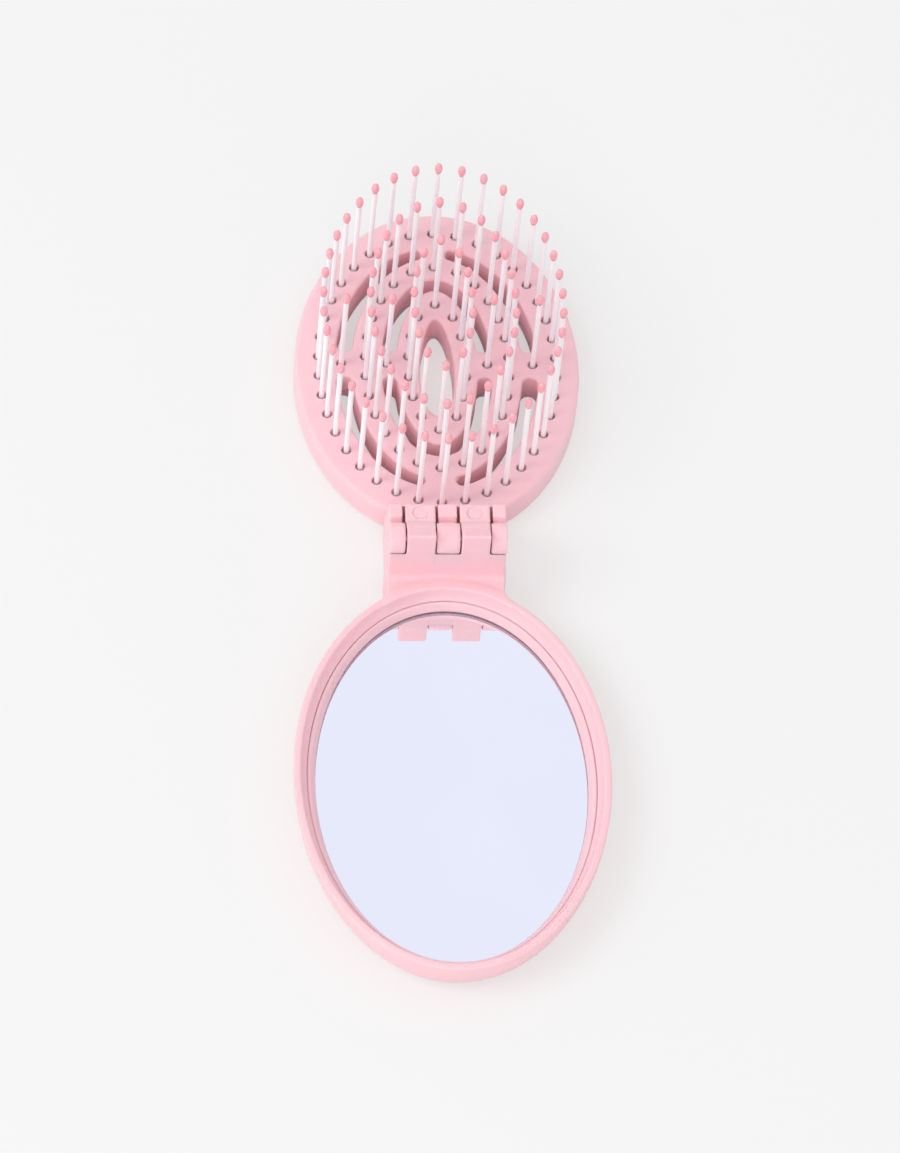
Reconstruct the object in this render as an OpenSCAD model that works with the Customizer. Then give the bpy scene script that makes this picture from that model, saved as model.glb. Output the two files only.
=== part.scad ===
// Folding hairbrush with a mirror, lying open on its two flat backs.
// The brush head lies towards +Y with its pins up, and the mirror towards -Y.
// X is across the brush. The hinge axis runs along X, high above both halves,
// so that the folded halves lie parallel with the pins between them.
// All sizes are in millimetres.

/* [Brush head] */
// Half the width of the brush head
head_half_w = 31.6; // [31:0.1:36]
// Half the length of the brush head
head_half_l = 41.5; // [40:0.1:46]
// Height of the brush face above the table
face_z = 8; // [7.5:0.1:9]
// Thickness of the head's side wall
head_wall = 1.6; // [1:0.1:2.4]
// Thickness of the brush face
face_t = 1.8; // [1.2:0.1:2.4]
// Rounding of the brush face's outer edge
face_edge = 1.1; // [0.4:0.1:1.5]
// How far the head's lower edge is drawn in
head_foot = 1.5; // [0.5:0.1:1.5]

/* [Vents] */
// Outer vents' centre line, as a share of the head's half width
outer_vent_w_share = 0.658; // [0.64:0.001:0.67]
// Outer vents' centre line, as a share of the head's half length
outer_vent_l_share = 0.747; // [0.735:0.001:0.76]
// Width of the outer vents at the sides
outer_vent_side = 3.6; // [2.6:0.1:4]
// Width of the outer vents at the two ends
outer_vent_end = 2.5; // [2:0.1:3]
// Inner vents' centre line, as a share of the head's half width
inner_vent_w_share = 0.3385; // [0.325:0.0005:0.345]
// Inner vents' centre line, as a share of the head's half length
inner_vent_l_share = 0.535; // [0.525:0.0005:0.545]
// Width of the inner vents at the sides
inner_vent_side = 3.2; // [2.4:0.1:3.4]
// Width of the inner vents at the two ends
inner_vent_end = 2.9; // [2.2:0.1:3.2]
// Half width of the centre vent, as a share of the head's
centre_vent_w_share = 0.1185; // [0.105:0.0005:0.122]
// Half length of the centre vent, as a share of the head's
centre_vent_l_share = 0.312; // [0.3:0.001:0.325]
// How much the centre vent narrows towards its far end, as a share of its width
centre_vent_taper = 0.2; // [0:0.05:0.3]
// Height of the bridges left and right, between vent and vent
side_bridge = 6.8; // [6:0.1:8]
// How far the side bridges lie above the head's centre
side_bridge_y = 0.75; // [0:0.05:1.2]
// Width of the bridge at the far end
far_bridge = 5.4; // [4.5:0.1:7]
// Width of the bridge at the hinge end
near_bridge = 7; // [5:0.1:8]
// Thickness of the wall that lines each vent
vent_wall = 1; // [0.8:0.1:1.2]

/* [Pins] */
// Length of a pin above the brush face, tip included
pin_len = 26.4; // [20:0.1:26.5]
// Diameter of a pin
pin_d = 1.2; // [0.9:0.05:1.3]
// Diameter of the clearance hole round a pin
pin_hole_d = 2.2; // [2:0.05:2.4]
// Diameter of a pin's drop-shaped tip
tip_d = 1.75; // [1.4:0.05:1.9]
// Length of a tip
tip_len = 3; // [2:0.1:3.6]
// Number of pins in the outer ring
outer_pin_count = 38; // [30:2:40]
// Number of pins in the middle ring
middle_pin_count = 26; // [18:2:28]
// Number of pins in the inner ring
inner_pin_count = 14; // [10:2:16]
// Place of the outer ring between the outer vents' walls and the head's wall
outer_pin_share = 0.5; // [0.4:0.01:0.6]
// Place of the middle ring between the inner and the outer vents' walls
middle_pin_share = 0.58; // [0.4:0.01:0.6]
// Place of the inner ring between the centre vent's and the inner vents' walls
inner_pin_share = 0.5; // [0.4:0.01:0.6]
// How far the pins on the side bridges lie outside the vents' centre lines
bridge_pin_out = 0.5; // [0:0.1:0.8]
// Thickness of the pins' carrier rings
carrier_t = 1.4; // [1.2:0.1:2]
// Gap between a carrier ring and the walls beside it
carrier_gap = 0.5; // [0.3:0.1:0.6]
// Depth of a pin's socket in its carrier ring
socket_depth = 1; // [0.6:0.1:1]
// Radial gap between a pin and its socket
socket_gap = 0.05; // [0.02:0.01:0.09]

/* [Mirror half] */
// Half the width of the mirror frame
frame_half_w = 34.3; // [34:0.05:37]
// Half the length of the mirror frame
frame_half_l = 49; // [48:0.05:51]
// Height of the frame's rim above the table
rim_z = 11.1; // [10.8:0.1:11.6]
// Width of the frame from its outside to the visible glass
rim_w = 4.2; // [4:0.1:5]
// Distance from the frame's outside to the rim's crest
crest_in = 1.2; // [0.9:0.1:1.6]
// How far the crest's rounding reaches inwards
crest_w = 0.5; // [0.3:0.1:0.8]
// Height of the crest's rounding
crest_h = 0.45; // [0.3:0.05:0.8]
// How far the frame's outside curves in from its widest line down to the foot
frame_foot = 5.2; // [4:0.1:6]
// Depth of the glass below the rim
glass_depth = 5.75; // [5.5:0.05:6]
// Thickness of the glass
glass_t = 1.8; // [1.4:0.1:2.2]
// Thickness of the adhesive pad behind the glass
pad_t = 0.8; // [0.5:0.1:1]
// Width of the retaining ring that borders the glass
bezel_w = 1.2; // [1:0.05:1.4]
// Height of the retaining ring above the glass
bezel_h = 2.8; // [2:0.1:3]
// Gap all round between the glass and the frame
glass_gap = 0.2; // [0.1:0.05:0.3]
// Thickness of the two back covers
cover_t = 1.6; // [1.2:0.1:2]
// Gap all round between a back cover and its shell
cover_gap = 0.15; // [0.1:0.05:0.2]
// Width of the flat foot round each back cover
foot_w = 1.2; // [0.8:0.1:1.4]

/* [Hinge] */
// Height of the hinge axis above the table
axis_z = 20.55; // [20.5:0.05:23]
// Distance from the hinge axis to the mirror frame's end
stand_off = 5.1; // [4.8:0.05:6]
// Width of the hinge
hinge_w = 25.5; // [25:0.1:27]
// Radius of the knuckles round the hinge rod
knuckle_r = 3.35; // [3:0.05:3.5]
// Diameter of the steel hinge rod
rod_d = 2; // [1.6:0.1:2.4]
// Radial running clearance of the rod in the fingers
rod_run = 0.05; // [0.02:0.01:0.09]
// Wall left over the blind end of the rod's bore
rod_blind = 1.2; // [0.8:0.1:1.5]
// How far the rod's other end lies inside the ear
rod_short = 0.15; // [0.1:0.05:0.4]
// Distance from the middle of the hinge to the middle of each finger
finger_x = 5.95; // [5.8:0.05:6.1]
// Width of a finger between the bosses
finger_w = 6.2; // [6:0.05:6.3]
// Width of a finger's tail behind the rod
tail_w = 6.6; // [6.4:0.05:6.7]
// Gap beside a finger between the bosses, and round the knuckles
boss_gap = 0.3; // [0.25:0.05:0.4]
// Gap beside a finger's tail
tail_gap = 0.6; // [0.5:0.05:0.7]
// Height of the fingers' front ridge above the axis
ridge_h = 5.6; // [5:0.1:6]
// Bevel of the fingers' front ridge
ridge_bevel = 0.55; // [0.3:0.05:0.8]
// Distance from the axis to the neck's front face
neck_front = 3.5; // [3.5:0.05:3.7]
// Height of the tails' and ears' flat tops above the axis
tail_top = 2; // [1.5:0.1:2.4]
// Distance from the axis to the rear edge of the tails and ears
tail_reach = 7.65; // [7:0.05:8]
// Distance from the axis to where the fingers begin to rise to their ridge
tail_flat = 3.2; // [3:0.05:3.6]
// Thickness of a tail
tail_t = 1.8; // [1.4:0.1:2]
// Gap between the two halves where they butt together when open
butt_gap = 0.2; // [0.1:0.05:0.3]
// Radius of the hollow corner between the neck and the rim
neck_fillet = 1.6; // [1:0.1:2]
// How far below the rim's crest the hollow corner runs out
neck_root = 0.4; // [0.2:0.1:0.6]
// Radius of the flare from the neck's sides into the frame
neck_flare = 4; // [2:0.5:5]
// Diameter of the shallow moulding mark on each tail
mark_d = 3.2; // [2.4:0.1:3.4]
// Depth of the shallow moulding mark
mark_depth = 0.15; // [0.1:0.05:0.3]

/* [Hidden] */

// Colours of the moulded pieces
pink = [0.98, 0.76, 0.80];
pink_tip = [0.96, 0.62, 0.68];
pin_white = [0.98, 0.95, 0.99];
silver = [0.90, 0.91, 0.97];
steel = [0.75, 0.76, 0.78];
foam = [0.90, 0.90, 0.88];

// Corners of each oval outline and of each vent's long side
oval_steps = 72;
vent_steps = 14;
cap_step = 30;
crest_step = 30;
foot_step = 15;
fillet_step = 15;
travel_steps = 180;
round_fn = 48;

// A cut runs this far past the surface that it opens
past = 1;

// Two shapes of one moulding run this far into each other
weld = 0.5;

// The middle corner of a rounded edge, as a share of its radius
mid_edge = 1 - cos(45);

// The tip's outline from its seat up, as shares of its radius and length
tip_shape = [[0.92, 0.25], [1, 0.45], [0.94, 0.66], [0.72, 0.85], [0.36, 0.97], [0, 1]];

// The retaining ring's section, as shares of its width and height
bezel_shape = [[0, 0], [0, 0.9], [0.3, 1], [0.7, 0.7], [1, 0.3], [1, 0]];

// From the hinge axis to the middle of each half
reach = frame_half_l + stand_off;

// The origin is under the middle of the open brush
hinge_y = (frame_half_l - head_half_l) / 2;
head_y = hinge_y + reach;
mirror_y = hinge_y - reach;

// Heights inside the head
face_under = face_z - face_t;
carrier_z = face_under - carrier_t;
socket_z = face_under - socket_depth;
pin_top = face_z + pin_len - tip_len;

// Heights inside the mirror half
glass_top = rim_z - glass_depth;
glass_under = glass_top - glass_t;
pad_under = glass_under - pad_t;

// Insets from the frame's and the head's outline
seat_in = rim_w - bezel_w;
cavity_in = head_wall + head_foot / 2;
cover_seat_in = head_foot + foot_w;
frame_cover_in = frame_foot + foot_w;

// Height of the frame's widest line
widest_z = rim_z - crest_h;

// Half width and half length of the vents, and of the free bands between their walls
function across(w_share, l_share) = [head_half_w * w_share, head_half_l * l_share];
outer_vent = across(outer_vent_w_share, outer_vent_l_share);
inner_vent = across(inner_vent_w_share, inner_vent_l_share);
centre_vent = across(centre_vent_w_share, centre_vent_l_share);
outer_wall = [outer_vent_side / 2 + vent_wall, outer_vent_end / 2 + vent_wall];
inner_wall = [inner_vent_side / 2 + vent_wall, inner_vent_end / 2 + vent_wall];
outer_band = [outer_vent + outer_wall, [head_half_w - cavity_in, head_half_l - cavity_in]];
middle_band = [inner_vent + inner_wall, outer_vent - outer_wall];
inner_band = [centre_vent + [vent_wall, vent_wall], inner_vent - inner_wall];

// The side bridges' pins and the bars that carry them
bridge_pin_outer = outer_vent[0] + bridge_pin_out;
bridge_pin_inner = inner_vent[0] + bridge_pin_out;
bar_w = side_bridge - 2 * (vent_wall + carrier_gap);

// Across the hinge, from its middle
half_hinge = hinge_w / 2;
boss_inner = finger_x - finger_w / 2 - boss_gap;
boss_outer = finger_x + finger_w / 2 + boss_gap;
slot_inner = finger_x - tail_w / 2 - tail_gap;
slot_outer = finger_x + tail_w / 2 + tail_gap;
cradle_r = knuckle_r + boss_gap;
sweep_r = norm([tail_reach, tail_top]) + boss_gap;
rod_r = rod_d / 2;
rod_from = rod_blind - half_hinge;
rod_to = half_hinge - rod_short;

// Flat faces run up into the round knuckles to this height
knuckle_mid = -knuckle_r / 2;

// Where the ears' webs begin behind the axis, clear of the folded neck
web_front = neck_front + boss_gap;
block_back = reach - head_half_l;

// ---- Outlines ----

function on_oval(a, b, t) = [a * sin(t), b * cos(t)];

function oval_normal(a, b, t) = let (v = [sin(t) / a, cos(t) / b]) v / norm(v);

function oval_along(a, b, t) = let (n = oval_normal(a, b, t)) [n[1], -n[0]];

function oval_outline(a, b) =
    [for (i = [0 : oval_steps - 1]) on_oval(a, b, 360 * i / oval_steps)];

// Distance travelled round an oval, beside the angle reached
function travel(a, b) =
    let (step = 360 / travel_steps)
    [for (i = 0, s = 0;
          i <= travel_steps;
          s = s + norm(on_oval(a, b, (i + 1) * step) - on_oval(a, b, i * step)), i = i + 1)
        [s, i * step]];

// Evenly spaced places round an oval, the first at its far end
function spaced(ring, count) =
    let (way = travel(ring[0], ring[1]), full = way[travel_steps][0])
    [for (k = [0 : count - 1]) on_oval(ring[0], ring[1], lookup(full * k / count, way))];

// An oval that lies a share of the way across a band
function within(band, share) = band[0] + share * (band[1] - band[0]);

// A vent follows an oval from one angle to another and has round ends
function vent_half(side, end, t) = (side * pow(sin(t), 2) + end * pow(cos(t), 2)) / 2;

function vent_side(a, b, side, end, t, grow, way) =
    on_oval(a, b, t) + way * (vent_half(side, end, t) + grow) * oval_normal(a, b, t);

function vent_cap(a, b, side, end, t, grow, way) =
    let (r = vent_half(side, end, t) + grow)
    [for (turn = [cap_step : cap_step : 180 - cap_step])
        on_oval(a, b, t)
            + way * r * (cos(turn) * oval_normal(a, b, t) + sin(turn) * oval_along(a, b, t))];

function vent_outline(a, b, side, end, from, to, grow) =
    let (step = (to - from) / vent_steps)
    concat(
        [for (i = [0 : vent_steps]) vent_side(a, b, side, end, from + i * step, grow, 1)],
        vent_cap(a, b, side, end, to, grow, 1),
        [for (i = [vent_steps : -1 : 0]) vent_side(a, b, side, end, from + i * step, grow, -1)],
        vent_cap(a, b, side, end, from, grow, -1)
    );

// Angles at which a vent's centre line meets a bridge
function at_height(b, y) = acos(y / b);
function at_width(a, x) = asin(x / a);

outer_above = at_height(outer_vent[1], side_bridge_y + (side_bridge + outer_vent_side) / 2);
outer_below = at_height(outer_vent[1], side_bridge_y - (side_bridge + outer_vent_side) / 2);
outer_far = at_width(outer_vent[0], (far_bridge + outer_vent_end) / 2);
outer_near = 180 - at_width(outer_vent[0], (near_bridge + outer_vent_end) / 2);
inner_above = at_height(inner_vent[1], side_bridge_y + (side_bridge + inner_vent_side) / 2);
inner_below = at_height(inner_vent[1], side_bridge_y - (side_bridge + inner_vent_side) / 2);

module outer_slot(from, to, grow) {
    polygon(vent_outline(outer_vent[0], outer_vent[1],
        outer_vent_side, outer_vent_end, from, to, grow));
}

module inner_slot(from, to, grow) {
    polygon(vent_outline(inner_vent[0], inner_vent[1],
        inner_vent_side, inner_vent_end, from, to, grow));
}

module centre_slot(grow) {
    a = centre_vent[0] + grow;
    b = centre_vent[1] + grow;
    polygon([for (p = oval_outline(a, b)) [p[0] * (1 - centre_vent_taper * p[1] / b), p[1]]]);
}

module vents(grow = 0) {
    for (side = [-1, 1]) {
        scale_x(side) outer_slot(outer_far, outer_above, grow);
        scale_x(side) outer_slot(outer_below, outer_near, grow);
    }
    inner_slot(-inner_above, inner_above, grow);
    inner_slot(inner_below, 360 - inner_below, grow);
    centre_slot(grow);
}

// The right-hand shape as drawn, or its mirror image on the left
module scale_x(side) {
    if (side > 0) children();
    else mirror([1, 0, 0]) children();
}

// A solid whose outline shrinks by each row's inset at that row's height
module oval_solid(a, b, rows) {
    n = oval_steps;
    last = len(rows) - 1;
    points = [for (row = rows) for (p = oval_outline(a - row[0], b - row[0])) [p[0], p[1], row[1]]];
    sides = [for (j = [0 : last - 1]) for (i = [0 : n - 1])
        [j * n + i, j * n + (i + 1) % n, (j + 1) * n + (i + 1) % n, (j + 1) * n + i]];
    under = [[for (i = [n - 1 : -1 : 0]) i]];
    over = [[for (i = [0 : n - 1]) last * n + i]];
    polyhedron(points, concat(sides, under, over));
}

// A closed ring whose section is a loop of [inset, height] corners
module oval_ring(a, b, section) {
    n = oval_steps;
    m = len(section);
    points = [for (i = [0 : n - 1]) for (c = section)
        let (p = on_oval(a - c[0], b - c[0], 360 * i / n)) [p[0], p[1], c[1]]];
    faces = [for (i = [0 : n - 1]) for (j = [0 : m - 1])
        [i * m + j, ((i + 1) % n) * m + j, ((i + 1) % n) * m + (j + 1) % m, i * m + (j + 1) % m]];
    polyhedron(points, faces);
}

module oval_plate(a, b, from_z, to_z) {
    translate([0, 0, from_z])
        linear_extrude(to_z - from_z)
            polygon(oval_outline(a, b));
}

// A rod or bore along X, at the hinge axis
module along_x(r, from_x, to_x) {
    translate([from_x, 0, 0])
        rotate([0, 90, 0])
            cylinder(r = r, h = to_x - from_x, $fn = round_fn);
}

// A profile of [y, z] corners, extruded along X
module profile_x(from_x, to_x) {
    translate([from_x, 0, 0])
        rotate([90, 0, 90])
            linear_extrude(to_x - from_x)
                children();
}

module at_head() {
    translate([0, head_y, 0]) children();
}

module at_mirror() {
    translate([0, mirror_y, 0]) children();
}

module at_axis() {
    translate([0, hinge_y, axis_z]) children();
}

// ---- Brush head ----

outer_places = spaced(within(outer_band, outer_pin_share), outer_pin_count);
middle_places = concat(
    spaced(within(middle_band, middle_pin_share), middle_pin_count),
    [for (side = [-1, 1]) for (x = [bridge_pin_outer, bridge_pin_inner]) [side * x, side_bridge_y]]
);
inner_places = spaced(within(inner_band, inner_pin_share), inner_pin_count);
all_places = concat(outer_places, middle_places, inner_places);

// The block that carries the ears: its front stands at the butt joint, its back slopes to the face
module ear_block() {
    difference() {
        union() {
            profile_x(-half_hinge, half_hinge)
                polygon([
                    [butt_gap / 2, -axis_z],
                    [butt_gap / 2, knuckle_mid],
                    [web_front, knuckle_mid],
                    [web_front, tail_top],
                    [tail_reach, tail_top],
                    [block_back + head_wall, face_z - axis_z - weld],
                    [block_back + head_wall, -axis_z]
                ]);
            along_x(knuckle_r, -half_hinge, half_hinge);
        }
        for (side = [-1, 1]) {
            scale_x(side) along_x(sweep_r, slot_inner, slot_outer);
        }
    }
}

// Bosses widen the ears next to the rod, inside the fingers' slots
module ear_bosses() {
    for (side = [-1, 1]) {
        scale_x(side) along_x(knuckle_r, boss_outer, half_hinge);
    }
    along_x(knuckle_r, -boss_inner, boss_inner);
}

module head_face_shell() {
    color(pink)
        difference() {
            union() {
                at_head() {
                    difference() {
                        oval_solid(head_half_w, head_half_l, [
                            [head_foot, 0],
                            [head_foot * mid_edge, head_foot * mid_edge],
                            [0, head_foot],
                            [0, face_z - face_edge],
                            [face_edge * mid_edge, face_z - face_edge * mid_edge],
                            [face_edge, face_z]
                        ]);
                        oval_plate(head_half_w - cavity_in, head_half_l - cavity_in,
                            cover_t, face_under);
                        oval_plate(head_half_w - cover_seat_in, head_half_l - cover_seat_in,
                            -past, cover_t + past);
                    }
                    translate([0, 0, cover_t])
                        linear_extrude(face_under - cover_t + weld)
                            vents(vent_wall);
                }
                at_axis() ear_block();
                at_axis() ear_bosses();
            }
            at_head() {
                translate([0, 0, -past])
                    linear_extrude(face_z + 2 * past)
                        vents();
                for (p = all_places) {
                    translate([p[0], p[1], face_under - past])
                        cylinder(d = pin_hole_d, h = face_t + 2 * past, $fn = round_fn);
                }
                oval_plate(head_half_w - cover_seat_in, head_half_l - cover_seat_in,
                    -past, cover_t);
            }
            at_axis() along_x(rod_r, rod_from, half_hinge + past);
        }
}

module head_back_cover() {
    color(pink)
        at_head()
            difference() {
                oval_plate(head_half_w - cover_seat_in - cover_gap,
                    head_half_l - cover_seat_in - cover_gap, 0, cover_t);
                translate([0, 0, -past])
                    linear_extrude(cover_t + 2 * past)
                        vents();
            }
}

// ---- Pins ----

// A flat ring that fills a band up to its gaps
module carrier(band) {
    difference() {
        oval_plate(band[1][0] - carrier_gap, band[1][1] - carrier_gap, carrier_z, face_under);
        oval_plate(band[0][0] + carrier_gap, band[0][1] + carrier_gap,
            carrier_z - past, face_under + past);
    }
}

// Blind sockets for the pins' feet
module sockets(places) {
    for (p = places) {
        translate([p[0], p[1], socket_z])
            cylinder(d = pin_d + 2 * socket_gap, h = socket_depth + past, $fn = round_fn);
    }
}

module pins(places) {
    color(pin_white)
        at_head()
            for (p = places) {
                translate([p[0], p[1], socket_z])
                    cylinder(d = pin_d, h = pin_top - socket_z, $fn = round_fn);
            }
}

// A drop: widest below its middle, with a flat seat on the pin's end
module tip() {
    rotate_extrude($fn = round_fn)
        polygon(concat(
            [[0, 0], [pin_d / 2, 0]],
            [for (share = tip_shape) [tip_d / 2 * share[0], tip_len * share[1]]]
        ));
}

module tips(places) {
    color(pink_tip)
        at_head()
            for (p = places) {
                translate([p[0], p[1], pin_top]) tip();
            }
}

module outer_pin_carrier() {
    color(pin_white)
        at_head()
            difference() {
                carrier(outer_band);
                sockets(outer_places);
            }
}

module middle_pin_carrier() {
    half = bar_w / 2;
    color(pin_white)
        at_head()
            difference() {
                union() {
                    carrier(middle_band);
                    for (side = [-1, 1]) {
                        scale_x(side)
                            translate([bridge_pin_inner - half, side_bridge_y - half, carrier_z])
                                cube([bridge_pin_outer - bridge_pin_inner + bar_w, bar_w, carrier_t]);
                    }
                }
                sockets(middle_places);
            }
}

module inner_pin_carrier() {
    color(pin_white)
        at_head()
            difference() {
                carrier(inner_band);
                sockets(inner_places);
            }
}

module outer_pins() { pins(outer_places); }

module middle_pins() { pins(middle_places); }

module inner_pins() { pins(inner_places); }

module outer_pin_tips() { tips(outer_places); }

module middle_pin_tips() { tips(middle_places); }

module inner_pin_tips() { tips(inner_places); }

// ---- Hinge rod ----

module hinge_rod() {
    color(steel)
        at_axis() along_x(rod_r, rod_from, rod_to);
}

// ---- Mirror half ----

// The neck stands on the frame and butts against the head's block when open
module neck() {
    top = rim_z - axis_z - neck_root;
    corner = [-neck_front - neck_fillet, top + neck_fillet];
    difference() {
        profile_x(-half_hinge, half_hinge)
            polygon(concat(
                [[-butt_gap / 2, 0], [-butt_gap / 2, -axis_z], [-block_back, -axis_z], [-block_back, top]],
                [for (turn = [-90 : fillet_step : 0])
                    corner + neck_fillet * [cos(turn), sin(turn)]],
                [[-neck_front, 0]]
            ));
        along_x(cradle_r, -half_hinge - past, half_hinge + past);
    }
}

// A finger: a knuckle on the rod, a ridge in front and a flat tail behind
module finger() {
    profile_x(-finger_w / 2, finger_w / 2)
        polygon([
            [-butt_gap / 2, -cradle_r - past],
            [-neck_front, -cradle_r - past],
            [-neck_front, ridge_h - ridge_bevel],
            [-neck_front + ridge_bevel, ridge_h],
            [tail_flat, tail_top],
            [tail_flat, tail_top - tail_t],
            [-butt_gap / 2, knuckle_mid]
        ]);
    along_x(knuckle_r, -finger_w / 2, finger_w / 2);
    difference() {
        profile_x(-tail_w / 2, tail_w / 2)
            polygon([
                [0, tail_top - tail_t],
                [0, tail_top + (ridge_h - tail_top) * tail_flat / (tail_flat + neck_front)],
                [tail_flat, tail_top],
                [tail_reach, tail_top],
                [tail_reach, tail_top - tail_t]
            ]);
        for (side = [-1, 1]) {
            scale_x(side) along_x(cradle_r, finger_w / 2, tail_w);
        }
        translate([0, (tail_flat + tail_reach) / 2, tail_top - mark_depth])
            cylinder(d = mark_d, h = past, $fn = round_fn);
    }
}

// Hollow corners in plan where the neck's sides flow into the frame, above its curved foot
module flares() {
    centre_x = half_hinge + neck_flare;
    lean = asin(centre_x / (frame_half_w + neck_flare));
    centre_y = (frame_half_l + neck_flare) * cos(lean);
    touch = [centre_x, centre_y]
        - neck_flare * oval_normal(frame_half_w, frame_half_l, lean);
    for (side = [-1, 1]) {
        scale_x(side)
            translate([0, 0, glass_top]) linear_extrude(rim_z - neck_fillet - glass_top)
                difference() {
                    translate([half_hinge - past, touch[1] - foot_w])
                        square([touch[0] - half_hinge + past, centre_y - touch[1] + foot_w]);
                    translate([centre_x, centre_y])
                        circle(r = neck_flare, $fn = round_fn);
                }
    }
}

// The frame's section: up the curved outside, over the crest and down to the floor
module frame_ring() {
    oval_ring(frame_half_w, frame_half_l, concat(
        [for (turn = [90 : -foot_step : 0])
            [frame_foot * (1 - cos(turn)), widest_z * (1 - sin(turn))]],
        [for (turn = [180 - crest_step : -crest_step : 0])
            [crest_in + cos(turn) * (turn > 90 ? crest_in : crest_w),
                widest_z + sin(turn) * crest_h]],
        [
            [seat_in, glass_top + bezel_h],
            [seat_in, pad_under],
            [frame_cover_in, pad_under],
            [frame_cover_in, 0]
        ]
    ));
}

// The space inside the ring, which the neck's root stays out of
module ring_inside() {
    oval_plate(frame_half_w - frame_cover_in, frame_half_l - frame_cover_in, -past, glass_under);
    oval_plate(frame_half_w - seat_in, frame_half_l - seat_in, pad_under, glass_top + past);
    oval_plate(frame_half_w - crest_in, frame_half_l - crest_in, glass_top, axis_z);
}

module mirror_frame() {
    color(pink)
        difference() {
            union() {
                at_mirror() {
                    frame_ring();
                    oval_plate(frame_half_w - frame_cover_in + weld,
                        frame_half_l - frame_cover_in + weld, cover_t, pad_under);
                }
                difference() {
                    union() {
                        at_axis() neck();
                        at_mirror() flares();
                    }
                    at_mirror() ring_inside();
                }
                for (side = [-1, 1]) {
                    at_axis() translate([side * finger_x, 0, 0]) finger();
                }
            }
            at_axis() along_x(rod_r + rod_run, -half_hinge, half_hinge);
        }
}

module mirror_retaining_ring() {
    color(pink)
        at_mirror()
            oval_ring(frame_half_w, frame_half_l, [for (share = bezel_shape)
                [seat_in + bezel_w * share[0], glass_top + bezel_h * share[1]]]);
}

module mirror_glass() {
    color(silver)
        at_mirror()
            oval_plate(frame_half_w - seat_in - glass_gap, frame_half_l - seat_in - glass_gap,
                glass_under, glass_top);
}

module mirror_pad() {
    color(foam)
        at_mirror()
            oval_plate(frame_half_w - rim_w, frame_half_l - rim_w, pad_under, glass_under);
}

module mirror_back_cover() {
    color(pink)
        at_mirror()
            oval_plate(frame_half_w - frame_cover_in - cover_gap,
                frame_half_l - frame_cover_in - cover_gap, 0, cover_t);
}

head_face_shell();
head_back_cover();
outer_pin_carrier();
middle_pin_carrier();
inner_pin_carrier();
outer_pins();
middle_pins();
inner_pins();
outer_pin_tips();
middle_pin_tips();
inner_pin_tips();
hinge_rod();
mirror_frame();
mirror_retaining_ring();
mirror_glass();
mirror_pad();
mirror_back_cover();
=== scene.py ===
"""Looks of the folding hairbrush with a mirror: smooth moulded shells, pins and a silvered glass
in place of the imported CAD's nodes. Shapes are worked out in millimetres and placed in metres."""

import math

import bpy
import bmesh
import numpy as np
from mathutils import Matrix, Vector


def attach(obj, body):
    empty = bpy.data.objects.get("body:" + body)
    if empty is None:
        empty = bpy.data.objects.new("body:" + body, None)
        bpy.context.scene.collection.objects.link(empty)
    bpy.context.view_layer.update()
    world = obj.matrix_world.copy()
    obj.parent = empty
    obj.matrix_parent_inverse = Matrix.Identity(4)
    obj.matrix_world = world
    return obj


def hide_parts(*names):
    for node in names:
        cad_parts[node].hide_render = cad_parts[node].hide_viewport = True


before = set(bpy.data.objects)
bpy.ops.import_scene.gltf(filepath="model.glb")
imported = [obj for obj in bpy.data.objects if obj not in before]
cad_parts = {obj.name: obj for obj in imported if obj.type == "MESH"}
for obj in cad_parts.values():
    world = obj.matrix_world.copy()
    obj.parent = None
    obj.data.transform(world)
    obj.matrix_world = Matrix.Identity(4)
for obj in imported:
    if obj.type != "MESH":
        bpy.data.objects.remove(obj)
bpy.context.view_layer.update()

MM = 0.001

# ---- Sizes, the same as the CAD's, in millimetres ----

# Brush head: half width and half length, then heights and insets
HEAD_A, HEAD_B = 31.6, 41.5
FACE_Z = 8.0
HEAD_FOOT = 1.5
FACE_EDGE = 1.1
COVER_SEAT = 2.7
COVER_GAP = 0.15
COVER_T = 1.6

# Vents: middle lines, widths at the sides and at the ends, and the bridges between them
OUTER_VENT = (HEAD_A * 0.658, HEAD_B * 0.747)
INNER_VENT = (HEAD_A * 0.3385, HEAD_B * 0.535)
CENTRE_VENT = (HEAD_A * 0.1185, HEAD_B * 0.312)
OUTER_SIDE, OUTER_END = 3.6, 2.5
INNER_SIDE, INNER_END = 3.2, 2.9
CENTRE_TAPER = 0.2
SIDE_BRIDGE, SIDE_BRIDGE_Y = 6.8, 0.75
FAR_BRIDGE, NEAR_BRIDGE = 5.4, 7.0
VENT_WALL = 1.0
VENT_EDGE = 0.75
CAVITY_IN = 2.35

# Pins: how many there are in each ring, and how far out in its band the ring lies
PIN_R, HOLE_R, TIP_R = 0.6, 1.1, 0.875
SOCKET_Z, PIN_TOP, TIP_LEN = 5.2, 31.4, 3.0
BRIDGE_PIN_OUT = 0.5
RINGS = {"outer": (38, 0.5), "middle": (26, 0.58), "inner": (14, 0.5)}

# Mirror frame: half width and half length, then heights and insets
FRAME_A, FRAME_B = 34.3, 49.0
RIM_Z, CREST_H, CREST_IN, CREST_W = 11.1, 0.45, 1.2, 0.5
WIDEST_Z = RIM_Z - CREST_H
FRAME_FOOT, FRAME_COVER_IN = 5.2, 6.4
SEAT_IN = 3.0
GLASS_TOP, GLASS_UNDER, PAD_UNDER = 5.35, 3.55, 2.75
GLASS_GAP = 0.2

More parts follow.
